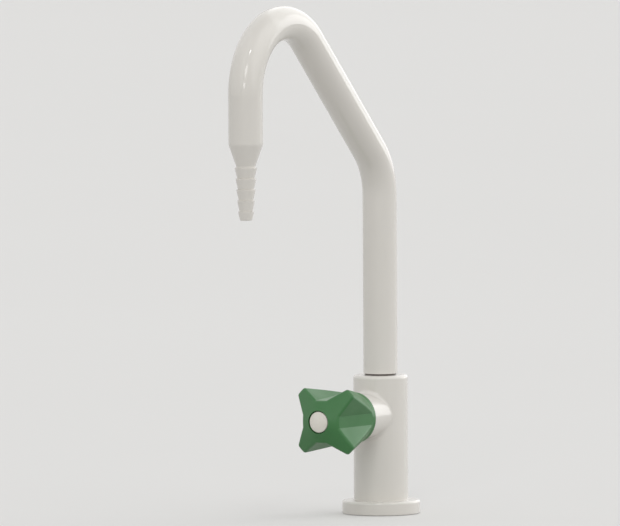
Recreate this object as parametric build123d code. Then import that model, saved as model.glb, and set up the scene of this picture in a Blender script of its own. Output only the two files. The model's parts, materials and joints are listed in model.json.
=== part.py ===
from build123d import *
import math
import os

# Laboratory gooseneck tap for a bench top: a column on a round flange, a screw-down valve
# with a four-lobe handwheel at its front, and a swivelling bent spout with a hose nozzle.
# Millimetres, +Z up. The origin is the centre of the flange's underside, on the bench.
# The spout and the handwheel both face -Y.

# Clearances and overruns shared by the whole tap
fit_clearance = 0.05        # radial gap of turned parts that fit in each other
seat_clearance = 0.3        # gap where two parts face each other and must not bind
cut_overrun = 1.0           # how far a cutting shape runs past the metal it cuts

# Spout tube
tube_diameter = 22.0
tube_wall = 1.5
spout_reach = 160.0         # column axis to nozzle axis
spout_height = 332.0        # bench to the top of the arch
bend_radius = 43.0          # centre line of both bends
slant_angle = 45.0          # lean of the straight run between the bends
leg_length = 30.0           # straight tube from the arch down to the nozzle

# Column, with the boss that takes the headwork
column_height = 89.0        # bench to the column's top
column_shoulder = 3.0       # how much the column's radius exceeds the boss's
column_rim_round = 2.0
boss_reach = 34.5           # column axis to the boss face
boss_wall = 4.0
boss_blend_share = 0.83     # blend radius between boss and column, of the column's shoulder

# Flange
flange_diameter = 50.0
flange_height = 8.5
flange_round = 1.5
flange_foot_round = 0.6

# Flange gasket, in a groove of the underside
gasket_land = 2.8           # metal between the flange's hole and the gasket
gasket_margin = 5.0         # metal between the gasket and the flange's edge
gasket_thickness = 1.5

# Mounting shank under the flange, a half-inch pipe thread size
shank_diameter = 20.9
shank_bore = 13.0
shank_thread_length = 12.0  # length screwed into the column
shank_spare_thread = 5.0    # thread left below the backnut
shank_relief_depth = 1.2
shank_relief_length = 2.5
shank_tail_diameter = 20.956
shank_tail_length = 13.0
shank_tail_chamfer = 0.8
shank_seal_thickness = 1.5
shank_seal_inset = 0.5

# Clamp below the bench
bench_thickness = 30.0
bench_washer_diameter = 40.0
bench_washer_clearance = 0.25
rubber_washer_thickness = 3.0
steel_washer_thickness = 2.0
backnut_height = 8.0
backnut_across_flats = 30.0
backnut_corner_ease = 0.8

# Water ways in the column
inlet_diameter = 12.0
inlet_drop = 17.5           # valve axis to the top of the wide inlet bore
side_way_diameter = 9.0
side_way_offset = 6.5       # how far the narrow bore stands behind the column axis
side_way_overlap = 8.0
outlet_way_diameter = 4.2
outlet_way_spread = 2.6     # half the distance between the two outlet holes
outlet_way_offset = 6.3     # how far they stand in front of the column axis
outlet_way_rise = 6.5       # valve axis to the foot of the outlet holes
socket_wall = 2.7           # metal between the spout socket and the valve chamber

# Renewable valve seat
seat_reach = 5.0            # column axis to the seat's face
seat_lip_height = 1.0
seat_lip_width = 1.2
seat_ring_height = 2.0
seat_ring_width = 2.45

# Headwork, screwed into the boss
headwork_thread_diameter = 20.9
headwork_thread_depth = 11.0
headwork_thread_step = 1.2  # how much the boss's thread is wider than its chamber
headwork_barrel_gap = 0.3
headwork_seal_thickness = 1.5
headwork_seal_width = 1.9
headwork_hex_land = 0.55    # how far the hexagon's flats stand out from the thread
headwork_hex_height = 6.0
headwork_hex_ease = 0.7
headwork_neck_diameter = 17.0
headwork_neck_length = 7.0

# Valve carrier: a hexagon that slides and cannot turn
seat_washer_thickness = 3.0
seat_washer_inset = 0.3
carrier_flange_thickness = 3.0
carrier_flange_gap = 2.0    # water's way round the carrier's flange
carrier_hex = 12.0
carrier_stem_length = 14.0
carrier_screw_diameter = 4.0
carrier_screw_depth = 4.6
carrier_screw_head_diameter = 6.8
carrier_screw_head_height = 1.8
carrier_screw_slot_width = 1.0
carrier_screw_slot_depth = 0.9
carrier_floor = 1.4
hex_guide_clearance = 0.1
valve_lift = 4.0            # travel from shut to fully open

# Spindle
spindle_thread_diameter = 8.0
spindle_collar_diameter = 11.6
spindle_collar_length = 2.5
spindle_shaft_diameter = 9.2
thrust_washer_thickness = 0.8
circlip_thickness = 1.0
circlip_width = 1.6
circlip_groove_depth = 0.6
circlip_gap_angle = 60.0
circlip_to_hub = 1.2
square_drive = 6.4
square_length = 14.0
spindle_ring_count = 2
spindle_ring_thickness = 1.1
spindle_ring_pitch = 4.4
spindle_ring_inset = 3.0

# Handwheel
wheel_skirt_wall = 1.4
wheel_skirt_length = 3.2
wheel_skirt_lap = 2.5       # how far the skirt covers the boss
wheel_rim_clearance = 0.5
wheel_lobes = 4
wheel_lobe_radius = 27.0
wheel_lobe_setback = 9.0    # front of the wheel to the lobe tips
wheel_lobe_half_width = 3.3
wheel_edge_round = 2.0
notch_land = 5.9            # front plane between the cap's recess and a notch
notch_half_width = 3.7
notch_tilt_share = 0.0725   # how much the notch floor widens for each length of depth
hex_room = 0.8              # gap round the headwork's hexagon
hex_end_room = 1.5
neck_room = 1.5             # gap round the headwork's neck
drive_clearance = 0.1
wheel_web = 2.5

# Screw and index cap at the front of the handwheel
wheel_screw_diameter = 4.0
wheel_screw_length = 12.0
wheel_screw_head_diameter = 7.2
wheel_screw_head_height = 2.4
wheel_screw_slot_width = 1.0
wheel_screw_slot_depth = 1.2
wheel_screw_head_round = 0.8
screw_hole_clearance = 0.2
screw_head_room = 3.15
cap_diameter = 13.4
cap_ring_gap = 0.8          # dark ring round the cap
cap_recess_depth = 2.2
cap_edge_height = 1.9
cap_dome_height = 0.8
cap_plug_diameter = 10.2
cap_plug_wall = 0.9
cap_plug_length = 3.0
cap_socket_clearance = 0.1
cap_edge_round = 0.3

# Swivel joint between the spout and the column
bearing_thickness = 1.0
bearing_inset = 0.8         # how far the ring stays inside the tube's outside
tail_grip_length = 12.0     # length brazed inside the tube
tail_wall = 0.95            # wall left under the lock groove
tail_end_chamfer = 0.5
tail_end_land = 1.6
ring_thickness = 1.3
ring_groove_gap = 0.25
ring_land = 1.0
lock_groove_width = 3.6
lock_groove_depth = 1.5
lock_drop = 4.2             # column top to the lock screw's axis

# Lock screw at the back of the column
lock_screw_diameter = 5.0
lock_point_diameter = 3.0
lock_screw_inset = 0.6
lock_socket_hex = 2.5
lock_socket_depth = 2.5

# Outlet bush and hose nozzle
bush_length = 14.0
bush_wall = 1.4
nozzle_seal_thickness = 1.2
nozzle_thread_length = 10.0
nozzle_bore = 6.0
nozzle_shoulder_height = 1.7
nozzle_shoulder_round = 7.0
nozzle_cone_height = 13.5
nozzle_neck_diameter = 12.4
nozzle_neck_height = 1.2
barb_count = 5
barb_pitch = 6.95
barb_top_diameter = 14.2
barb_bottom_diameter = 10.1
barb_taper_share = 0.77     # width of a barb's lower edge against its upper edge
barb_edge_height = 0.4
barb_tip_length = 5.8       # length of the last barb
nozzle_tip_round = 0.5

# Radii
tube_radius = tube_diameter / 2
tube_inner_radius = tube_radius - tube_wall
tail_radius = tube_inner_radius - fit_clearance
headwork_thread_radius = headwork_thread_diameter / 2
boss_hole_radius = headwork_thread_radius + fit_clearance
chamber_radius = boss_hole_radius - headwork_thread_step
boss_radius = boss_hole_radius + boss_wall
column_radius = boss_radius + column_shoulder
carrier_flange_radius = chamber_radius - carrier_flange_gap
seat_orifice_radius = side_way_diameter / 2
seat_ring_radius = seat_orifice_radius + seat_ring_width
shaft_radius = spindle_shaft_diameter / 2
wheel_skirt_radius = boss_radius + wheel_rim_clearance + wheel_skirt_wall
cap_radius = cap_diameter / 2
cap_recess_radius = cap_radius + cap_ring_gap
nozzle_thread_radius = tube_inner_radius - bush_wall - fit_clearance * 2
shank_hole_radius = shank_diameter / 2 + fit_clearance
bench_hole_radius = shank_diameter / 2 + bench_washer_clearance

# Heights of the swivel joint, the valve axis and the spout, from the column's top down
tube_start = column_height + bearing_thickness
lock_height = column_height - lock_drop
ring_groove_height = ring_thickness + ring_groove_gap * 2
ring_pitch = ring_groove_height + ring_land
upper_ring_height = lock_height - lock_groove_width / 2 - ring_land - ring_groove_height / 2
lower_ring_height = upper_ring_height - ring_pitch
tail_start = lower_ring_height - ring_groove_height / 2 - tail_end_land
socket_floor = tail_start - seat_clearance
valve_height = socket_floor - socket_wall - chamber_radius
inlet_height = valve_height - inlet_drop
shank_top = flange_height + shank_thread_length
arch_height = spout_height - tube_radius - bend_radius
outlet_height = arch_height - leg_length
nozzle_cone_start = outlet_height - nozzle_shoulder_height
nozzle_cone_end = nozzle_cone_start - nozzle_cone_height
steel_washer_top = -bench_thickness - rubber_washer_thickness
backnut_top = steel_washer_top - steel_washer_thickness
backnut_bottom = backnut_top - backnut_height

# Distances along the valve axis, from the column's axis outwards
seat_back = seat_reach - seat_lip_height
carrier_start = seat_reach + seat_washer_thickness
carrier_stem_start = carrier_start + carrier_flange_thickness
carrier_end = carrier_stem_start + carrier_stem_length
carrier_well_start = carrier_start + carrier_screw_depth + carrier_floor
headwork_start = carrier_stem_start + valve_lift + seat_clearance
guide_end = carrier_end + valve_lift + seat_clearance
collar_start = guide_end + seat_clearance
collar_end = collar_start + spindle_collar_length
shaft_hole_start = collar_end + thrust_washer_thickness
spindle_start = carrier_well_start + valve_lift + seat_clearance
hex_start = boss_reach + headwork_seal_thickness
hex_end = hex_start + headwork_hex_height
neck_end = hex_end + headwork_neck_length
circlip_start = neck_end + fit_clearance
circlip_end = circlip_start + circlip_thickness
square_start = circlip_end + circlip_to_hub
square_end = square_start + square_length
screw_seat = square_end + wheel_web
cap_floor = screw_seat + wheel_screw_head_height + screw_head_room
wheel_front = cap_floor + cap_recess_depth
wheel_start = boss_reach - wheel_skirt_lap
lobe_depth = wheel_front - wheel_lobe_setback


def turned(profile):
    """A solid of revolution about Z from a closed outline of (radius, height) points."""
    outline = Polyline(*[(radius, 0, height) for radius, height in profile], close=True)
    return revolve(make_face(outline), Axis.Z)


def ring(inner_radius, outer_radius, low, high):
    """A plain washer or sleeve about Z."""
    corners = [(inner_radius, low), (outer_radius, low), (outer_radius, high), (inner_radius, high)]
    return turned(corners)


def rod(radius, low, high):
    """A round bar about Z between two heights."""
    return Pos(0, 0, low) * Cylinder(radius, high - low, align=(Align.CENTER, Align.CENTER, Align.MIN))


def hexagon_bar(across_flats, low, high):
    """A hexagonal bar about Z between two heights."""
    outline = RegularPolygon(across_flats / 2, 6, major_radius=False)
    return Pos(0, 0, low) * extrude(outline, high - low)


def square_bar(side, low, high):
    """A square bar about Z between two heights."""
    return Pos(0, 0, low) * extrude(Rectangle(side, side), high - low)


def eased_hexagon(across_flats, low, high, ease):
    """A hexagonal bar whose corners are turned off at both ends, as on a nut."""
    corner_radius = across_flats / math.sqrt(3)
    turned_radius = corner_radius - ease
    profile = [(0, low), (turned_radius, low), (corner_radius, low + ease / 2)]
    profile += [(corner_radius, high - ease / 2), (turned_radius, high), (0, high)]
    return hexagon_bar(across_flats, low, high) & turned(profile)


def o_ring(outer_radius, thickness, middle):
    """A rubber ring of round section about Z."""
    section = Pos(outer_radius - thickness / 2, 0, middle) * Rot(90, 0, 0) * Circle(thickness / 2)
    return revolve(section, Axis.Z)


def on_valve_axis(shape):
    """Turns a shape built along Z so that Z becomes the valve axis, facing -Y."""
    return Pos(0, 0, valve_height) * Rot(90, 0, 0) * shape


def at_lock_screw(shape):
    """Turns a shape built along Z so that Z becomes the lock screw's axis, facing +Y."""
    return Pos(0, 0, lock_height) * Rot(-90, 0, 0) * shape


def at_nozzle(shape):
    """Moves a shape built about Z to the nozzle's axis."""
    return Pos(0, -spout_reach, 0) * shape


# Column with its boss and its water ways
def make_column_body():
    body = rod(column_radius, flange_height, column_height) + on_valve_axis(rod(boss_radius, 0, boss_reach))
    seams = [edge for edge in body.edges() if edge.geom_type not in (GeomType.CIRCLE, GeomType.LINE)]
    body = fillet(seams, column_shoulder * boss_blend_share)
    rim = body.edges().filter_by(GeomType.CIRCLE).sort_by(Axis.Z)[-1]
    body = fillet(rim, column_rim_round)

    shank_hole = rod(shank_hole_radius, flange_height - cut_overrun, shank_top + seat_clearance)
    inlet = rod(inlet_diameter / 2, flange_height, inlet_height)
    side_way = rod(seat_orifice_radius, inlet_height - side_way_overlap, valve_height)
    side_way = Pos(0, side_way_offset, 0) * side_way
    passage = on_valve_axis(rod(seat_orifice_radius, -side_way_offset - seat_orifice_radius, seat_reach))
    socket = rod(tail_radius + fit_clearance, socket_floor, column_height + cut_overrun)
    body = body - shank_hole - inlet - side_way - passage - socket
    outlet = rod(outlet_way_diameter / 2, valve_height + outlet_way_rise, socket_floor + cut_overrun)
    for side in (-1, 1):
        body = body - Pos(side * outlet_way_spread, -outlet_way_offset, 0) * outlet

    seat_pocket = rod(seat_ring_radius + fit_clearance, seat_back - seat_ring_height, seat_reach)
    chamber = rod(chamber_radius, seat_back, boss_reach + cut_overrun)
    thread = rod(boss_hole_radius, boss_reach - headwork_thread_depth, boss_reach + cut_overrun)
    body = body - on_valve_axis(seat_pocket) - on_valve_axis(chamber) - on_valve_axis(thread)
    return body - at_lock_screw(rod(lock_screw_diameter / 2 + fit_clearance, 0, column_radius + cut_overrun))


def make_valve_seat():
    base = ring(seat_orifice_radius, seat_ring_radius, seat_back - seat_ring_height, seat_back)
    lip = ring(seat_orifice_radius, seat_orifice_radius + seat_lip_width, seat_back, seat_reach)
    return on_valve_axis(base + lip)


def make_lock_screw():
    outer_end = column_radius - lock_screw_inset
    body_start = tail_radius + fit_clearance + seat_clearance
    point = rod(lock_point_diameter / 2, tail_radius - lock_groove_depth + seat_clearance, body_start)
    shank = rod(lock_screw_diameter / 2, body_start, outer_end)
    key = hexagon_bar(lock_socket_hex, outer_end - lock_socket_depth, outer_end + cut_overrun)
    return at_lock_screw(point + shank - key)


# Flange and what clamps the tap to the bench
def make_base_flange():
    disc = rod(flange_diameter / 2, 0, flange_height)
    rim = disc.edges().filter_by(GeomType.CIRCLE).sort_by(Axis.Z)[-1]
    disc = fillet(rim, flange_round)
    foot = disc.edges().filter_by(GeomType.CIRCLE).sort_by(Axis.Z)[0]
    disc = fillet(foot, flange_foot_round)
    disc = disc - rod(bench_hole_radius, -cut_overrun, flange_height + cut_overrun)
    groove_inner = bench_hole_radius + gasket_land
    groove_outer = flange_diameter / 2 - gasket_margin
    return disc - ring(groove_inner, groove_outer, -cut_overrun, gasket_thickness)


def make_flange_gasket():
    inner = bench_hole_radius + gasket_land + fit_clearance
    outer = flange_diameter / 2 - gasket_margin - fit_clearance
    return ring(inner, outer, 0, gasket_thickness)


def make_mounting_shank():
    bore = shank_bore / 2
    radius = shank_diameter / 2
    relief_radius = radius - shank_relief_depth
    tail = shank_tail_diameter / 2
    grip_end = backnut_bottom - shank_spare_thread
    relief_end = grip_end - shank_relief_length
    tail_end = relief_end - shank_tail_length
    seal_floor = shank_top - shank_seal_thickness
    profile = [(bore, tail_end), (tail - shank_tail_chamfer, tail_end)]
    profile += [(tail, tail_end + shank_tail_chamfer), (tail, relief_end)]
    profile += [(relief_radius, relief_end), (relief_radius, grip_end), (radius, grip_end)]
    profile += [(radius, seal_floor), (bore, seal_floor)]
    return turned(profile)


def make_shank_seal():
    outer = shank_diameter / 2 - shank_seal_inset
    return ring(shank_bore / 2, outer, shank_top - shank_seal_thickness, shank_top)


def make_bench_washer(top, thickness):
    return ring(bench_hole_radius, bench_washer_diameter / 2, top - thickness, top)


def make_backnut():
    nut = eased_hexagon(backnut_across_flats, backnut_bottom, backnut_top, backnut_corner_ease)
    return nut - rod(shank_hole_radius, backnut_bottom - cut_overrun, backnut_top + cut_overrun)


# Swivelling spout
def spout_centre_line():
    """The tube's centre line: up the riser, over the slant, round the arch and down the leg."""
    lean = math.radians(slant_angle)
    slant_top_y = -(spout_reach - bend_radius) + bend_radius * math.cos(lean)
    slant_top_z = arch_height + bend_radius * math.sin(lean)
    slant_foot_y = -bend_radius * (1 - math.cos(lean))
    slant_foot_z = slant_top_z - (slant_foot_y - slant_top_y) / math.tan(lean)
    riser_top = (0, 0, slant_foot_z - bend_radius * math.sin(lean))
    slant_foot = (0, slant_foot_y, slant_foot_z)
    slant_top = (0, slant_top_y, slant_top_z)
    arch_end = (0, -spout_reach, arch_height)
    slant_way = (0, -math.sin(lean), math.cos(lean))
    riser = Line((0, 0, tube_start), riser_top)
    lower_bend = TangentArc(riser_top, slant_foot, tangent=(0, 0, 1))
    slant = Line(slant_foot, slant_top)
    arch = TangentArc(slant_top, arch_end, tangent=slant_way)
    leg = Line(arch_end, (0, -spout_reach, outlet_height))
    return Wire([riser, lower_bend, slant, arch, leg])


def make_spout_tube():
    section = Plane((0, 0, tube_start)) * (Circle(tube_radius) - Circle(tube_inner_radius))
    return sweep(section, path=spout_centre_line())


def make_spout_tail():
    tail_end = tube_start + tail_grip_length
    tail = rod(tail_radius, tail_start, tail_end)
    tail = chamfer(tail.edges().filter_by(GeomType.CIRCLE), tail_end_chamfer)
    lock_root = tail_radius - lock_groove_depth
    tail = tail - rod(lock_root - tail_wall, tail_start - cut_overrun, tail_end + cut_overrun)
    groove_root = tail_radius - ring_thickness - fit_clearance
    for middle in (lower_ring_height, upper_ring_height):
        low = middle - ring_groove_height / 2
        tail = tail - ring(groove_root, tail_radius + cut_overrun, low, low + ring_groove_height)
    lock_low = lock_height - lock_groove_width / 2
    return tail - ring(lock_root, tail_radius + cut_overrun, lock_low, lock_low + lock_groove_width)


def make_spout_rings():
    return [o_ring(tail_radius, ring_thickness, middle) for middle in (lower_ring_height, upper_ring_height)]


def make_bearing_ring():
    return ring(tail_radius + fit_clearance, tube_radius - bearing_inset, column_height, tube_start)


# Outlet of the spout
def make_outlet_bush():
    outer = tube_inner_radius - fit_clearance
    return at_nozzle(ring(outer - bush_wall, outer, outlet_height, outlet_height + bush_length))


def make_nozzle_seal():
    low = outlet_height + nozzle_thread_length
    return at_nozzle(ring(nozzle_bore / 2, nozzle_thread_radius, low, low + nozzle_seal_thickness))


def make_hose_nozzle():
    bore = nozzle_bore / 2
    thread_top = outlet_height + nozzle_thread_length
    neck = nozzle_neck_diameter / 2
    neck_end_height = nozzle_cone_end - nozzle_neck_height
    profile = [(bore, thread_top), (nozzle_thread_radius, thread_top)]
    profile += [(nozzle_thread_radius, outlet_height), (tube_radius, outlet_height)]
    profile += [(tube_radius, nozzle_cone_start), (neck, nozzle_cone_end), (neck, neck_end_height)]
    step = (barb_top_diameter - barb_bottom_diameter) / (barb_count - 1)
    for index in range(barb_count):
        top = neck_end_height - index * barb_pitch
        length = barb_tip_length if index == barb_count - 1 else barb_pitch
        outer = (barb_top_diameter - step * index) / 2
        profile += [(outer, top), (outer, top - barb_edge_height), (outer * barb_taper_share, top - length)]
    profile += [(bore, top - length)]
    nozzle = turned(profile)
    circles = nozzle.edges().filter_by(GeomType.CIRCLE)
    tip_rim = circles.group_by(Axis.Z)[0].sort_by(SortBy.RADIUS)[-1]
    nozzle = fillet(tip_rim, nozzle_tip_round)
    circles = nozzle.edges().filter_by(GeomType.CIRCLE)
    above, below = nozzle_cone_start + fit_clearance, nozzle_cone_start - fit_clearance
    shoulder = circles.filter_by_position(Axis.Z, below, above)
    return at_nozzle(fillet(shoulder, nozzle_shoulder_round))


# Headwork and the valve it carries
def make_headwork_body():
    barrel = rod(chamber_radius - headwork_barrel_gap, headwork_start, hex_start)
    thread_start = boss_reach - headwork_thread_depth + seat_clearance
    thread = rod(headwork_thread_radius, thread_start, hex_start)
    across_flats = headwork_thread_diameter + headwork_hex_land * 2
    head = eased_hexagon(across_flats, hex_start, hex_end, headwork_hex_ease)
    neck = rod(headwork_neck_diameter / 2, hex_end, neck_end)
    guide = hexagon_bar(carrier_hex + hex_guide_clearance * 2, headwork_start - cut_overrun, guide_end)
    collar_hole = rod(spindle_collar_diameter / 2 + fit_clearance, guide_end, shaft_hole_start)
    shaft_hole = rod(shaft_radius + fit_clearance, shaft_hole_start, neck_end + cut_overrun)
    return on_valve_axis(barrel + thread + head + neck - guide - collar_hole - shaft_hole)


def make_headwork_seal():
    inner = headwork_thread_radius + fit_clearance
    return on_valve_axis(ring(inner, inner + headwork_seal_width, boss_reach, hex_start))


def make_valve_carrier():
    flange = rod(carrier_flange_radius, carrier_start, carrier_stem_start)
    stem = hexagon_bar(carrier_hex, carrier_stem_start, carrier_end)
    screw_end = carrier_start + carrier_screw_depth
    screw_hole = rod(carrier_screw_diameter / 2, carrier_start - cut_overrun, screw_end)
    well = rod(spindle_thread_diameter / 2 + fit_clearance, carrier_well_start, carrier_end + cut_overrun)
    return on_valve_axis(flange + stem - screw_hole - well)


def make_seat_washer():
    hole = carrier_screw_diameter / 2 + fit_clearance
    outer = carrier_flange_radius - seat_washer_inset
    return on_valve_axis(ring(hole, outer, seat_reach, carrier_start))


def make_seat_screw():
    radius = carrier_screw_diameter / 2 - fit_clearance
    head_low = seat_reach - carrier_screw_head_height
    head = rod(carrier_screw_head_diameter / 2, head_low, seat_reach)
    shank = rod(radius, seat_reach, carrier_start + carrier_screw_depth - seat_clearance)
    slot = Box(carrier_screw_head_diameter * 2, carrier_screw_slot_width, carrier_screw_slot_depth * 2)
    return on_valve_axis(head + shank - Pos(0, 0, head_low) * slot)


def spindle_ring_places():
    last = neck_end - spindle_ring_inset
    return [last - index * spindle_ring_pitch for index in range(spindle_ring_count)]


def make_spindle():
    spindle = rod(spindle_thread_diameter / 2, spindle_start, collar_start)
    spindle = spindle + rod(spindle_collar_diameter / 2, collar_start, collar_end)
    spindle = spindle + rod(shaft_radius, collar_end, square_start)
    spindle = spindle + square_bar(square_drive, square_start, square_end)
    groove_height = spindle_ring_thickness + ring_groove_gap * 2
    groove_root = shaft_radius - spindle_ring_thickness - fit_clearance
    for middle in spindle_ring_places():
        low = middle - groove_height / 2
        spindle = spindle - ring(groove_root, shaft_radius + cut_overrun, low, low + groove_height)
    clip_root = shaft_radius - circlip_groove_depth
    spindle = spindle - ring(clip_root, shaft_radius + cut_overrun, circlip_start, circlip_end)
    hole_low = screw_seat - wheel_screw_length - seat_clearance
    screw_hole = rod(wheel_screw_diameter / 2 + fit_clearance, hole_low, square_end + cut_overrun)
    return on_valve_axis(spindle - screw_hole)


def make_spindle_rings():
    rings = [o_ring(shaft_radius, spindle_ring_thickness, place) for place in spindle_ring_places()]
    return [on_valve_axis(shape) for shape in rings]


def make_thrust_washer():
    inner = shaft_radius + fit_clearance
    return on_valve_axis(ring(inner, spindle_collar_diameter / 2, collar_end, shaft_hole_start))


def make_spindle_circlip():
    inner = shaft_radius - circlip_groove_depth + fit_clearance
    clip = ring(inner, inner + circlip_width, circlip_start, circlip_end)
    reach = inner + circlip_width + cut_overrun
    half_gap = reach * math.tan(math.radians(circlip_gap_angle / 2))
    mouth = Polygon((0, 0), (half_gap, reach), (-half_gap, reach), align=None)
    cut = Pos(0, 0, circlip_start - cut_overrun) * extrude(mouth, circlip_thickness + cut_overrun * 2)
    return on_valve_axis(clip - cut)


# Handwheel, its screw and its cap
def wheel_blank():
    """The handwheel before its notches are cut: skirt, rear cone and front cone."""
    skirt_end = wheel_start + wheel_skirt_length
    profile = [(0, wheel_start), (wheel_skirt_radius, wheel_start), (wheel_skirt_radius, skirt_end)]
    profile += [(wheel_lobe_radius, lobe_depth), (cap_recess_radius, wheel_front), (0, wheel_front)]
    return turned(profile)


def wheel_notch():
    """One notch beside a lobe: a flat floor between two walls that rise to the lobe tips."""
    lobe_angle = math.pi / wheel_lobes
    tip_x = wheel_lobe_radius * math.cos(lobe_angle) + wheel_lobe_half_width * math.sin(lobe_angle)
    tip_y = wheel_lobe_radius * math.sin(lobe_angle) - wheel_lobe_half_width * math.cos(lobe_angle)
    front = wheel_front + cut_overrun
    depth = front - wheel_start + cut_overrun
    floor_front = cap_recess_radius + notch_land - cut_overrun * notch_tilt_share
    floor_at_tips = floor_front + (front - lobe_depth) * notch_tilt_share
    wall_slope = (tip_x - floor_at_tips) / (tip_y - notch_half_width)
    mouth_half = wheel_lobe_radius
    wall_end = floor_front + (mouth_half - notch_half_width) * wall_slope
    outline = Polygon(
        (floor_front, -notch_half_width),
        (floor_front, notch_half_width),
        (wall_end, mouth_half),
        (wall_end + wheel_lobe_radius, mouth_half),
        (wall_end + wheel_lobe_radius, -mouth_half),
        (wall_end, -mouth_half),
        align=None,
    )
    way = Vector(depth * notch_tilt_share, 0, -depth)
    return extrude(Pos(0, 0, front) * outline, amount=way.length, dir=way.normalized())


def lobed_wheel():
    """The blank with its notches, and its edges rounded as they leave the mould."""
    wheel = Rot(0, 0, math.degrees(math.pi / wheel_lobes)) * wheel_blank()
    for index in range(wheel_lobes):
        wheel = wheel - Rot(0, 0, math.degrees(math.tau * index / wheel_lobes)) * wheel_notch()
    walls = wheel.edges().filter_by(GeomType.HYPERBOLA)
    circles = wheel.edges().filter_by(GeomType.CIRCLE)
    tips = circles.filter_by_position(Axis.Z, lobe_depth - fit_clearance, lobe_depth + fit_clearance)
    return fillet(walls + tips, wheel_edge_round)


def make_handwheel():
    wheel = lobed_wheel()
    hex_corner = (headwork_thread_diameter / 2 + headwork_hex_land) * 2 / math.sqrt(3)
    under = wheel_start - cut_overrun
    wheel = wheel - rod(boss_radius + wheel_rim_clearance, under, boss_reach + wheel_rim_clearance)
    wheel = wheel - rod(hex_corner + hex_room, under, hex_end + hex_end_room)
    wheel = wheel - rod(headwork_neck_diameter / 2 + neck_room, under, square_start)
    wheel = wheel - square_bar(square_drive + drive_clearance * 2, under, square_end + seat_clearance)
    wheel = wheel - rod(wheel_screw_diameter / 2 + screw_hole_clearance, square_end, screw_seat + cut_overrun)
    socket_radius = cap_plug_diameter / 2 + cap_socket_clearance
    wheel = wheel - rod(socket_radius, screw_seat, cap_floor + cut_overrun)
    return on_valve_axis(wheel - rod(cap_recess_radius, cap_floor, wheel_front + cut_overrun))


def make_handwheel_screw():
    head_top = screw_seat + wheel_screw_head_height
    head = rod(wheel_screw_head_diameter / 2, screw_seat, head_top)
    rim = head.edges().filter_by(GeomType.CIRCLE).sort_by(Axis.Z)[-1]
    head = fillet(rim, wheel_screw_head_round)
    shank = rod(wheel_screw_diameter / 2, screw_seat - wheel_screw_length, screw_seat)
    slot = Box(wheel_screw_head_diameter * 2, wheel_screw_slot_width, wheel_screw_slot_depth * 2)
    return on_valve_axis(head + shank - Pos(0, 0, head_top) * slot)


def make_index_cap():
    edge = cap_floor + cap_edge_height
    crown_radius = cap_radius - cap_edge_round
    sphere_radius = (crown_radius**2 + cap_dome_height**2) / (cap_dome_height * 2)
    half = crown_radius / 2
    half_rise = math.sqrt(sphere_radius**2 - half**2) - sphere_radius + cap_dome_height
    rim = (crown_radius, 0, edge)
    crown = (0, 0, edge + cap_dome_height)
    dome = ThreePointArc(rim, (half, 0, edge + half_rise), crown)
    side_top = (cap_radius, 0, edge - cap_edge_round)
    sides = Polyline(crown, (0, 0, cap_floor), (cap_radius, 0, cap_floor), side_top, rim)
    disc = revolve(make_face([dome, sides]), Axis.Z)
    plug_radius = cap_plug_diameter / 2
    plug = ring(plug_radius - cap_plug_wall, plug_radius, cap_floor - cap_plug_length, cap_floor)
    return on_valve_axis(disc + plug)


pieces = {
    "column_body": make_column_body(),
    "valve_seat": make_valve_seat(),
    "lock_screw": make_lock_screw(),
    "base_flange": make_base_flange(),
    "flange_gasket": make_flange_gasket(),
    "mounting_shank": make_mounting_shank(),
    "shank_seal": make_shank_seal(),
    "bench_washer_rubber": make_bench_washer(-bench_thickness, rubber_washer_thickness),
    "bench_washer_steel": make_bench_washer(steel_washer_top, steel_washer_thickness),
    "backnut": make_backnut(),
    "spout_tube": make_spout_tube(),
    "spout_tail": make_spout_tail(),
    "spout_rings": make_spout_rings(),
    "spout_bearing_ring": make_bearing_ring(),
    "outlet_bush": make_outlet_bush(),
    "nozzle_seal": make_nozzle_seal(),
    "hose_nozzle": make_hose_nozzle(),
    "headwork_body": make_headwork_body(),
    "headwork_seal": make_headwork_seal(),
    "valve_carrier": make_valve_carrier(),
    "seat_washer": make_seat_washer(),
    "seat_screw": make_seat_screw(),
    "spindle": make_spindle(),
    "spindle_rings": make_spindle_rings(),
    "thrust_washer": make_thrust_washer(),
    "spindle_circlip": make_spindle_circlip(),
    "handwheel": make_handwheel(),
    "handwheel_screw": make_handwheel_screw(),
    "index_cap": make_index_cap(),
}

os.makedirs("parts", exist_ok=True)
for node, shape in pieces.items():
    bodies = shape if isinstance(shape, list) else [shape]
    part = Compound(label=node, children=[solid for body in bodies for solid in body.solids()])
    export_step(part, os.path.join("parts", node + ".step"))
    print(node, len(part.solids()), "solids", round(part.volume), "cubic millimetres")
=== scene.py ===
# %% [markdown]
# # A laboratory gooseneck tap
#
# The tap is a brass casting and a bent brass tube, both covered in a baked epoxy coat, with a
# green moulded handwheel. Its parts come ready made, at their real size, as a frame that stays
# where it is. This notebook gives every surface its finish, cuts the screw thread that shows
# below the bench, and sets up the camera, the floor and the lights.

# %% Load the tap
import json
import math

import bpy
from mathutils import Matrix, Vector


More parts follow.
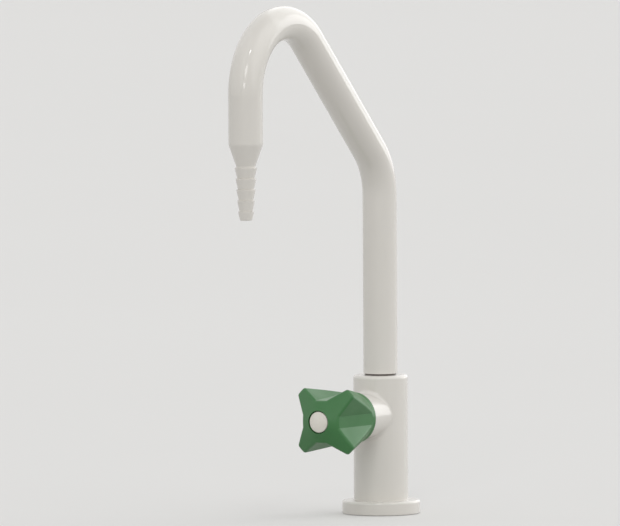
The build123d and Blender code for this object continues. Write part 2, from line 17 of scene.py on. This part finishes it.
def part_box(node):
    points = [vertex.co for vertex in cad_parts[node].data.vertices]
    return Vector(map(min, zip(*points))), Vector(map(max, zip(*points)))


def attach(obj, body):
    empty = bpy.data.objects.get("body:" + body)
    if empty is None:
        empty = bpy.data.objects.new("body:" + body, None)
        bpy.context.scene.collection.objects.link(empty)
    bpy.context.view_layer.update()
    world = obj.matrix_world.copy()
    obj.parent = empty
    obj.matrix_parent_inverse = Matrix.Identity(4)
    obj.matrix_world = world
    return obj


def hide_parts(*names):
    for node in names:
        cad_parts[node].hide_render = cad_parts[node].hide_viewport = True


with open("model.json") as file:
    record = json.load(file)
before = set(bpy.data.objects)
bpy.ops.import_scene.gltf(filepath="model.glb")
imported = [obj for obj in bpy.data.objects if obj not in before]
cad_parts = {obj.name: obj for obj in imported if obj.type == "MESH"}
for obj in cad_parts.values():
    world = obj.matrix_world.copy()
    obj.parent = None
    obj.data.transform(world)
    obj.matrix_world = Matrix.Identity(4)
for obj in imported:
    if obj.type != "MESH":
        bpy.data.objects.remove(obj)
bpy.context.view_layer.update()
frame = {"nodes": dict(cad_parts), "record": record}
bpy.ops.object.select_all(action="DESELECT")

# %% [markdown]
# ## The camera
#
# The photograph looks slightly down on the tap from its front right, through a long lens, so
# upright lines stay parallel. A camera far away with a narrow view does the same. Five
# measured values place it: the scale, the three angles of the view, and the pixel at which
# the middle of the flange's underside shows.

# %% Camera
MM = 0.001
photo_width, photo_height = 620, 526
foot_pixel = (381.18, 512.7)
pixels_per_metre = 1558.2
camera_azimuth = math.radians(32.2)
camera_elevation = math.radians(4.15)
camera_roll = math.radians(0.3)
camera_distance = 14.0
sensor_width = 36.0

to_camera = Vector((math.sin(camera_azimuth), -math.cos(camera_azimuth), 0))
view_right = Vector((math.cos(camera_azimuth), math.sin(camera_azimuth), 0))
view_back = to_camera * math.cos(camera_elevation) + Vector((0, 0, math.sin(camera_elevation)))
view_up = view_back.cross(view_right)
rolled_right = view_right * math.cos(camera_roll) - view_up * math.sin(camera_roll)
rolled_up = view_up * math.cos(camera_roll) + view_right * math.sin(camera_roll)
aim = rolled_right * ((photo_width / 2 - foot_pixel[0]) / pixels_per_metre)
aim += rolled_up * ((foot_pixel[1] - photo_height / 2) / pixels_per_metre)

bpy.ops.object.camera_add()
camera = bpy.context.object
camera.name = "camera"
camera.data.sensor_width = sensor_width
camera.data.lens = sensor_width * camera_distance * pixels_per_metre / photo_width
camera.data.clip_end = camera_distance * 4
turn = Matrix((rolled_right, rolled_up, view_back)).transposed().to_4x4()
camera.matrix_world = Matrix.Translation(aim + view_back * camera_distance) @ turn
bpy.context.scene.camera = camera
bpy.context.scene.view_settings.view_transform = "Standard"
print("camera lens", round(camera.data.lens), "mm, looking at", tuple(round(v, 3) for v in aim))

# %% [markdown]
# ## Colours, nodes and clouds
#
# Colours are picked as they look on a screen, as hex values. The renderer works with linear
# light, so one function turns a hex value to linear. One more adds a node, sets its sockets
# and links them, which keeps each finish short enough to read. No real surface has quite one
# colour, so soft clouds drift between two tones that are close to each other. A Mix node has
# several pairs of sockets called A and B, and its colours are numbers 6 and 7.

# %% Colour and node helpers
def linear(code):
    """A hex colour, as picked on a screen, in linear light."""
    parts = [int(code[place:place + 2], 16) / 255 for place in (1, 3, 5)]
    return tuple(p / 12.92 if p <= 0.04045 else ((p + 0.055) / 1.055) ** 2.4 for p in parts) + (1.0,)


def add(tree, kind, settings=None, links=None):
    """Adds a node. Settings name its properties or sockets, and links its sockets' sources."""
    node = tree.nodes.new(kind)
    for name, value in (settings or {}).items():
        if isinstance(name, str) and hasattr(node, name):
            setattr(node, name, value)
        else:
            node.inputs[name].default_value = value
    for name, source in (links or {}).items():
        tree.links.new(source, node.inputs[name])
    return node


def per_mm(size):
    """The texture scale that gives a pattern of this size, in millimetres."""
    return 1 / (size * MM)


def new_material(name):
    """An empty material, its nodes and its principled shader, and the place on the object."""
    material = bpy.data.materials.new(name)
    material.use_nodes = True
    tree = material.node_tree
    tree.nodes.clear()
    shader = add(tree, "ShaderNodeBsdfPrincipled")
    add(tree, "ShaderNodeOutputMaterial", {}, {"Surface": shader.outputs[0]})
    place = add(tree, "ShaderNodeTexCoord").outputs["Object"]
    return material, tree, shader, place


def clouds(tree, place, size, detail, span, tones):
    """Clouds of a size in millimetres: their share, with span stretched to 0 and 1, and their colour."""
    noise = add(tree, "ShaderNodeTexNoise", {"Scale": per_mm(size), "Detail": detail}, {"Vector": place})
    stretch = {"From Min": span[0], "From Max": span[1]}
    share = add(tree, "ShaderNodeMapRange", stretch, {"Value": noise.outputs[0]}).outputs[0]
    pair = {"data_type": "RGBA", 6: linear(tones[0]), 7: linear(tones[1])}
    return share, add(tree, "ShaderNodeMix", pair, {0: share}).outputs[2]


print("helpers ready, mid grey is", round(linear("#808080")[0], 3), "in linear light")

# %% [markdown]
# ## Baked epoxy coat
#
# The column, the flange, the spout and the nozzle are brass, sprayed with epoxy powder and
# baked. The powder melts to a thick glossy skin. It is off-white and slightly warm, its shine
# is sharp because the surface is glassy, and it has the faint waviness that painters call
# orange peel. The dips of orange peel are about 4 mm apart and only a few thousandths of a
# millimetre deep, so they show in the highlights alone. One layer can't be soft and sharp at
# once, so there are two: the pigmented skin scatters light softly, and the clear resin on its
# face is the shader's coat layer, which draws the sharp highlights.

# %% Epoxy coat
def epoxy_coat():
    """The off-white coat: a soft pigmented skin with orange peel under clear glossy resin."""
    material, tree, shader, place = new_material("baked_epoxy_coat")
    _, tone = clouds(tree, place, 70, 1.0, (0.2, 0.8), ("#DAD6CF", "#D7D3CB"))
    haze = add(tree, "ShaderNodeTexNoise", {"Scale": per_mm(18), "Detail": 2.0}, {"Vector": place})
    dullness = {"From Min": 0.2, "From Max": 0.8, "To Min": 0.46, "To Max": 0.50}
    rough = add(tree, "ShaderNodeMapRange", dullness, {"Value": haze.outputs[0]})
    peel = add(tree, "ShaderNodeTexNoise", {"Scale": per_mm(4.0), "Detail": 0.0}, {"Vector": place})
    bump = add(tree, "ShaderNodeBump", {"Strength": 1.0, "Distance": 0.006 * MM}, {"Height": peel.outputs[0]})
    tree.links.new(tone, shader.inputs["Base Color"])
    tree.links.new(rough.outputs[0], shader.inputs["Roughness"])
    tree.links.new(bump.outputs[0], shader.inputs["Normal"])
    tree.links.new(bump.outputs[0], shader.inputs["Coat Normal"])
    shader.inputs["IOR"].default_value = 1.52
    shader.inputs["Coat Weight"].default_value = 0.9
    shader.inputs["Coat Roughness"].default_value = 0.09
    return material


coat = epoxy_coat()
print("made", coat.name)

# %% [markdown]
# ## Moulded plastics
#
# The handwheel is injection moulded in green polypropylene. The mould was spark eroded, which
# leaves a fine even grain and a soft shine. Its ridges are painted a little lighter: a painted
# highlight for the light that their rounded edges catch. The ridges could be painted by hand on
# an unwrapped mesh, but a Bevel node finds them by itself: it gives the direction of a rounded
# surface, and where that differs from the true direction there is an edge. The index cap is a
# harder, brighter plastic from a mirror-smooth mould, and the ring under the spout is turned
# from dark acetal.

# %% Plastics
def green_plastic():
    """Green polypropylene with an eroded grain, and a painted highlight along its ridges."""
    material, tree, shader, place = new_material("moulded_green_plastic")
    flow, tone = clouds(tree, place, 14, 3.0, (0.3, 0.7), ("#3D7341", "#396E3D"))
    # The ridges get a lighter green, a painted highlight for the light their rounded edges catch.
    rounded = add(tree, "ShaderNodeBevel", {"Radius": 0.7 * MM, "samples": 6})
    normal = add(tree, "ShaderNodeNewGeometry").outputs["Normal"]
    alike = add(tree, "ShaderNodeVectorMath", {"operation": "DOT_PRODUCT"}, {0: rounded.outputs[0], 1: normal})
    ridge_highlight_span = {"From Min": 0.9, "From Max": 0.995, "To Min": 0.35, "To Max": 0.0}
    edge = add(tree, "ShaderNodeMapRange", ridge_highlight_span, {"Value": alike.outputs["Value"]})
    ridge_highlight_tone = {"data_type": "RGBA", 7: linear("#5F925F")}
    ridge_highlight_mix = add(tree, "ShaderNodeMix", ridge_highlight_tone, {0: edge.outputs[0], 6: tone})
    grain = add(tree, "ShaderNodeTexNoise", {"Scale": per_mm(0.7), "Detail": 2.0}, {"Vector": place})
    bump = add(tree, "ShaderNodeBump", {"Strength": 1.0, "Distance": 0.02 * MM}, {"Height": grain.outputs[0]})
    rough = add(tree, "ShaderNodeMapRange", {"To Min": 0.34, "To Max": 0.44}, {"Value": flow})
    tree.links.new(ridge_highlight_mix.outputs[2], shader.inputs["Base Color"])
    tree.links.new(rough.outputs[0], shader.inputs["Roughness"])
    tree.links.new(bump.outputs[0], shader.inputs["Normal"])
    shader.inputs["Specular IOR Level"].default_value = 0.38
    shader.inputs["IOR"].default_value = 1.5
    return material


def plain_plastic(name, tones, roughness, grain_size, grain_depth):
    """A plastic with a slight cloud in its colour, and a grain with its size and depth in millimetres."""
    material, tree, shader, place = new_material(name)
    _, tone = clouds(tree, place, 6, 2.0, (0.3, 0.7), tones)
    grain = add(tree, "ShaderNodeTexNoise", {"Scale": per_mm(grain_size), "Detail": 2.0}, {"Vector": place})
    relief = {"Strength": 1.0, "Distance": grain_depth * MM}
    bump = add(tree, "ShaderNodeBump", relief, {"Height": grain.outputs[0]})
    tree.links.new(tone, shader.inputs["Base Color"])
    tree.links.new(bump.outputs[0], shader.inputs["Normal"])
    shader.inputs["Roughness"].default_value = roughness
    shader.inputs["IOR"].default_value = 1.5
    return material


wheel_plastic = green_plastic()
cap_plastic = plain_plastic("polished_ivory_plastic", ("#E4E0D6", "#DED9CE"), 0.22, 1.2, 0.006)
ring_plastic = plain_plastic("turned_dark_acetal", ("#554C46", "#5C534D"), 0.25, 0.4, 0.01)
print("made", wheel_plastic.name, cap_plastic.name, ring_plastic.name)

# %% [markdown]
# ## Bare metals and rubber
#
# Below the bench nothing is coated: the shank and its nut are turned brass, the screws and the
# washer are stainless steel, and the seals are black nitrile rubber. A lathe tool leaves fine
# rings round the axis. Their spacing follows the height, so a wave along Z draws them, and a
# Wave texture repeats once in each tau / 20 units at a scale of 1. The real rings are 0.1 mm
# apart, too fine to show, so they are drawn about 1.2 mm apart. A thread that a die has cut is
# smooth along its flanks, so its brass has rings of no depth.

# %% Metals and rubber
ring_spacing = 1.18435
wave_repeat = math.tau / 20


def turned_metal(name, tones, roughness, ring_depth):
    """A bare metal with a slight cloud in its colour and lathe rings of a depth in millimetres."""
    material, tree, shader, place = new_material(name)
    cloud, tone = clouds(tree, place, 9, 3.0, (0.3, 0.7), tones)
    bands = {"wave_type": "BANDS", "bands_direction": "Z", "Distortion": 0.6}
    bands["Scale"] = per_mm(ring_spacing) * wave_repeat
    rings = add(tree, "ShaderNodeTexWave", bands, {"Vector": place})
    relief = {"Strength": 0.6, "Distance": ring_depth * MM}
    bump = add(tree, "ShaderNodeBump", relief, {"Height": rings.outputs[1]})
    rough = add(tree, "ShaderNodeMapRange", {"To Min": roughness, "To Max": roughness + 0.12}, {"Value": cloud})
    tree.links.new(tone, shader.inputs["Base Color"])
    tree.links.new(rough.outputs[0], shader.inputs["Roughness"])
    tree.links.new(bump.outputs[0], shader.inputs["Normal"])
    shader.inputs["Metallic"].default_value = 1.0
    return material


brass = turned_metal("turned_brass", ("#D9B56E", "#C79F58"), 0.24, 0.006)
thread_brass = turned_metal("die_cut_brass", ("#D6B26B", "#CBA45D"), 0.30, 0.0)
steel = turned_metal("turned_stainless_steel", ("#BEBDBA", "#ABAAA7"), 0.28, 0.006)
rubber = plain_plastic("nitrile_rubber", ("#1B1B1A", "#262624"), 0.62, 0.5, 0.03)
print("made", brass.name, thread_brass.name, steel.name, rubber.name)

# %% [markdown]
# ## Finishing the parts
#
# Each part of the frame already has one slot, named for its finish in the record. The new
# materials go into those slots, so that no part is forgotten.

# %% Assign the finishes
finishes = {
    "coated_brass": coat,
    "handwheel_plastic": wheel_plastic,
    "cap_plastic": cap_plastic,
    "bearing_plastic": ring_plastic,
    "brass": brass,
    "steel": steel,
    "nitrile_rubber": rubber,
}
slot_of = {entry["node"]: entry["material_slot"] for entry in frame["record"]["subparts"]}
for node, part in frame["nodes"].items():
    part.material_slots[0].material = finishes[slot_of[node]]
print("finished", len(slot_of), "parts")

# %% [markdown]
# ## The threaded shank
#
# The shank that goes through the bench has a pipe thread cut along it, for the backnut and
# for the supply hose. A thread is one long helical groove. A Screw modifier could sweep its
# profile along a helix, but would leave the ends open where the thread runs out. Here the
# pipe is a tube with many rows of points, and each point is pushed inwards by an amount that
# depends on its height and its angle together. The groove then climbs by one pitch for each
# turn, and the wall stays whole. The half-inch pipe thread has 14 turns to the inch, so its
# pitch is 1.814 mm. Two lengths are threaded, with a plain relief between them. The lower end
# is chamfered to start a nut, and the top, which sits in the flange, is left plain.

# %% Sizes of the shank
shank_low, shank_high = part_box("mounting_shank")
shank_length = shank_high.z - shank_low.z
shank_middle = (shank_high.z + shank_low.z) / 2
crest_radius = shank_high.x
bore_radius = 6.5 * MM
end_chamfer = 0.8 * MM
tail_top = shank_low.z + 13.0 * MM
relief_top = shank_low.z + 15.5 * MM
relief_depth = 1.2 * MM
thread_top = -1.0 * MM
thread_pitch = 1.814 * MM
thread_depth = 1.05 * MM
flank_steepness = 2.6
shank_sides = 72
thread_rows = 16
print("shank", round(shank_length / MM, 1), "mm long, which is", round(shank_length / thread_pitch), "pitches")

# %% [markdown]
# The groove's depth rises and falls with the share of a turn, and a smooth step rounds its
# crest and its root, as on the real thread.

# %% Shape of the thread
def groove(height, angle):
    """How deep the thread is at a height and an angle, from 0 at a crest to 1 at a root."""
    turn_share = (height / thread_pitch - angle / math.tau) % 1.0
    flank = min(1.0, flank_steepness * (0.5 - abs(turn_share - 0.5)))
    return flank * flank * (3 - 2 * flank)


def shank_radius(height, angle):
    """The shank's radius: chamfered end, threaded tail, plain relief, long thread, plain top."""
    if height < shank_low.z + end_chamfer:
        return crest_radius - end_chamfer + (height - shank_low.z)
    if tail_top < height < relief_top:
        return crest_radius - relief_depth
    if height > thread_top:
        return crest_radius
    return crest_radius - thread_depth * groove(height, angle)


root = thread_depth * groove(thread_pitch / 2, 0.0)
print("half a pitch above a crest the groove is", round(root / MM, 2), "mm deep")

# %% [markdown]
# ### The blank
#
# A plain tube comes first: a cylinder without ends, whose upright edges are cut into rows.
# They are cut twice, one time after the other, because one Subdivide stops at 100 cuts. Its
# lower rim is drawn in to the bore and pulled up through the middle, and the two upper rims
# are bridged, so that the tube is closed all over.

# %% Model the blank
def select_edges(part, wanted):
    """In edge mode, selects the edges whose two ends pass the test, and no others."""
    bpy.ops.mesh.select_mode(type="EDGE")
    bpy.ops.mesh.select_all(action="DESELECT")
    bpy.ops.object.mode_set(mode="OBJECT")
    points = part.data.vertices
    for edge in part.data.edges:
        edge.select = wanted(*(points[place].co for place in edge.vertices))
    bpy.ops.object.mode_set(mode="EDIT")


bpy.ops.mesh.primitive_cylinder_add(
    vertices=shank_sides, radius=crest_radius, depth=shank_length, end_fill_type="NOTHING",
    location=(0, 0, shank_middle)
)
shank = bpy.context.object
shank.name = "threaded_shank"
bpy.ops.object.transform_apply(location=True, rotation=True, scale=True)
bpy.ops.object.mode_set(mode="EDIT")
near = thread_pitch / thread_rows / 3
for pieces in (thread_rows, round(shank_length / thread_pitch)):
    select_edges(shank, lambda start, end: abs(start.z - end.z) > near)
    bpy.ops.mesh.subdivide(number_cuts=pieces - 1)
select_edges(shank, lambda start, end: max(start.z, end.z) < shank_low.z + near)
bpy.ops.mesh.extrude_edges_move()
inwards = bore_radius / crest_radius
bpy.ops.transform.resize(value=(inwards, inwards, 1))
bpy.ops.mesh.extrude_edges_move(TRANSFORM_OT_translate={"value": (0, 0, shank_length)})
select_edges(shank, lambda start, end: min(start.z, end.z) > shank_high.z - near)
bpy.ops.mesh.bridge_edge_loops()
bpy.ops.object.mode_set(mode="OBJECT")
print("blank with", len(shank.data.vertices), "points")

# %% [markdown]
# ### Cutting the thread
#
# Only points on the outer wall move. The thread's flanks are shaded smooth, and the angle is
# small enough to keep the edges of the chamfer and of the relief sharp.

# %% Cut the thread
smooth_angle = math.radians(42)
for point in shank.data.vertices:
    place = point.co
    reach = math.hypot(place.x, place.y)
    if reach > (bore_radius + crest_radius) / 2:
        wanted = shank_radius(place.z, math.atan2(place.y, place.x))
        place.x, place.y = place.x * wanted / reach, place.y * wanted / reach
bpy.ops.object.mode_set(mode="EDIT")
bpy.ops.mesh.select_all(action="SELECT")
bpy.ops.mesh.normals_make_consistent(inside=False)
bpy.ops.object.mode_set(mode="OBJECT")
bpy.ops.object.shade_smooth_by_angle(angle=smooth_angle)
shank.data.materials.append(thread_brass)
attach(shank, "tap_body")
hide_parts("mounting_shank")
print("threaded shank with", len(shank.data.polygons), "faces")

# %% [markdown]
# ## The floor
#
# The tap stands on a plain pale floor that runs far back, so it is also the background. It
# lies a hair below the flange, because two faces in one plane flicker. More light would make
# it paler, but would wash out the tap too. So part of its paleness is a faint glow that only
# the camera and shiny surfaces see: it lights nothing, and the tap's shadow stays.

# %% Floor
floor_radius = 12.0
floor_sides = 96
floor_drop = 0.3 * MM
floor_glow = 0.24


def seen_rays(tree):
    """1 for rays that come from the camera, from a shiny surface or through glass, and else 0."""
    rays = add(tree, "ShaderNodeLightPath")
    kinds = [rays.outputs[kind] for kind in ("Is Camera Ray", "Is Glossy Ray", "Is Transmission Ray")]
    some = add(tree, "ShaderNodeMath", {"operation": "MAXIMUM"}, {0: kinds[0], 1: kinds[1]})
    return add(tree, "ShaderNodeMath", {"operation": "MAXIMUM"}, {0: some.outputs[0], 1: kinds[2]}).outputs[0]


def floor_finish():
    """A matt pale floor with a very wide, faint cloud in its colour."""
    material, tree, shader, place = new_material("plain_pale_floor")
    _, tone = clouds(tree, place, 900, 2.0, (0.0, 1.0), ("#C6C5C3", "#C3C2C0"))
    glow = add(tree, "ShaderNodeMath", {"operation": "MULTIPLY", 1: floor_glow}, {0: seen_rays(tree)})
    tree.links.new(tone, shader.inputs["Base Color"])
    tree.links.new(glow.outputs[0], shader.inputs["Emission Strength"])
    shader.inputs["Emission Color"].default_value = linear("#F4F3F0")
    shader.inputs["Roughness"].default_value = 1.0
    shader.inputs["Specular IOR Level"].default_value = 0.0
    return material


bpy.ops.mesh.primitive_circle_add(
    vertices=floor_sides, radius=floor_radius, fill_type="NGON", location=(0, 0, -floor_drop)
)
floor = bpy.context.object
floor.name = "floor"
floor.data.materials.append(floor_finish())
print("floor", floor.dimensions.x, "m across")

# %% [markdown]
# ## The sky
#
# A pale sky lights the tap from all round. Where the camera or a shiny surface sees past the
# floor's end, the sky has the floor's own tone, so that no horizon shows.

# %% Sky
world = bpy.data.worlds.new("studio")
bpy.context.scene.world = world
world.use_nodes = True
sky = world.node_tree
sky.nodes.clear()
light_of_sky = add(sky, "ShaderNodeBackground", {"Color": linear("#F4F6FA"), "Strength": 0.29})
look_of_sky = add(sky, "ShaderNodeBackground", {"Color": linear("#E0DFDD"), "Strength": 1.0})
sources = {0: seen_rays(sky), 1: light_of_sky.outputs[0], 2: look_of_sky.outputs[0]}
both = add(sky, "ShaderNodeMixShader", {}, sources)
add(sky, "ShaderNodeOutputWorld", {}, {"Surface": both.outputs[0]})
print("sky", world.name)

# %% [markdown]
# ## The lamps
#
# Very wide suns and the sky light the tap at a plain level, at which a colour renders about
# as it is written. Wide suns work as large softboxes do, but their light is the same
# everywhere on the floor, with no pool under a lamp. Three stand in front and to the sides,
# and three behind: a glossy coat shows its surroundings most where it turns away, so those
# brighten the edges of the tube. Three narrow ones in front, two for a window and one for a
# lamp overhead, leave short highlights on the arch.

# %% Lamps
suns = {
    # name: degrees to the right of the camera, degrees above the floor, level, degrees wide
    "front_sun": (12, 32, 0.19, 100),
    "right_sun": (66, 34, 0.25, 70),
    "left_sun": (-75, 28, 0.24, 90),
    "back_right_sun": (142, 28, 0.36, 75),
    "low_right_sun": (118, 14, 0.12, 35),
    "back_left_sun": (-150, 35, 0.08, 60),
    "window_sun": (-6, 27, 0.085, 16),
    "low_window_sun": (-10, 9, 0.03, 9),
    "lamp_sun": (-3, 52, 0.045, 6),
}


def from_camera(sideways, lift):
    """A direction that many degrees round to the right of the camera, and above the floor."""
    around, rise = camera_azimuth + math.radians(sideways), math.radians(lift)
    return Vector((math.sin(around) * math.cos(rise), -math.cos(around) * math.cos(rise), math.sin(rise)))


def soft_sun(name, direction, brightness, width):
    """A sun that lights a white surface facing it to the given level, with soft shadows."""
    light = bpy.data.objects.new(name, bpy.data.lights.new(name, "SUN"))
    bpy.context.scene.collection.objects.link(light)
    light.location = direction
    light.rotation_mode = "QUATERNION"
    light.rotation_quaternion = direction.to_track_quat("Z", "Y")
    light.visible_camera = False
    light.data.energy = brightness * math.pi
    light.data.angle = math.radians(width)


for name, (sideways, lift, brightness, width) in suns.items():
    soft_sun(name, from_camera(sideways, lift), brightness, width)
print("lit by", len(suns), "suns")
